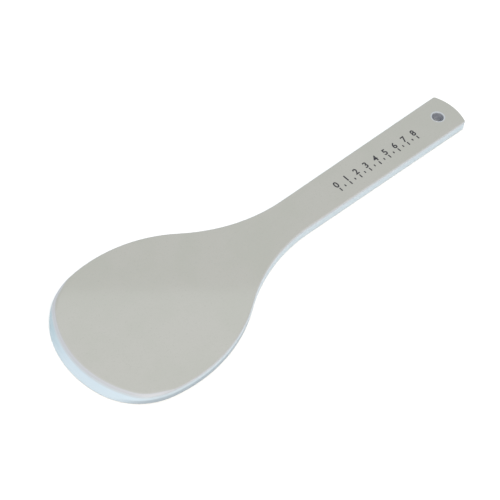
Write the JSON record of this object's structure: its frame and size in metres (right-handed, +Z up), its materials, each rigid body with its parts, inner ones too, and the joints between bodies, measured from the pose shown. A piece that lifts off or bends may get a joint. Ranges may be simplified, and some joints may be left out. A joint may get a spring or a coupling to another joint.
{
  "type": "rice paddle",
  "caption": "Long flat catering rice paddle with an oval blade, a thin slanted front lip and a straight handle with a hanging hole.",
  "frame": {"origin": "under the middle of the paddle's length, on the face that it rests on", "axes": "+X along the handle towards the hanging hole, +Z up out of the upper broad face, +Y across"},
  "size_m": [0.36, 0.114, 0.009],
  "materials": {
    "face_resin": "warm grey, smooth satin with a faint orange peel",
    "rim_resin": "satin white with a cool tint",
    "core_wood": "sanded, straight grain",
    "sleeve_resin": "satin grey"
  },
  "bodies": {
    "root": {"top_face_sheet": "face_resin", "bottom_face_sheet": "face_resin", "edge_rim": "rim_resin", "core_board": "core_wood", "hanging_hole_sleeve": "sleeve_resin"}
  },
  "joints": []
}
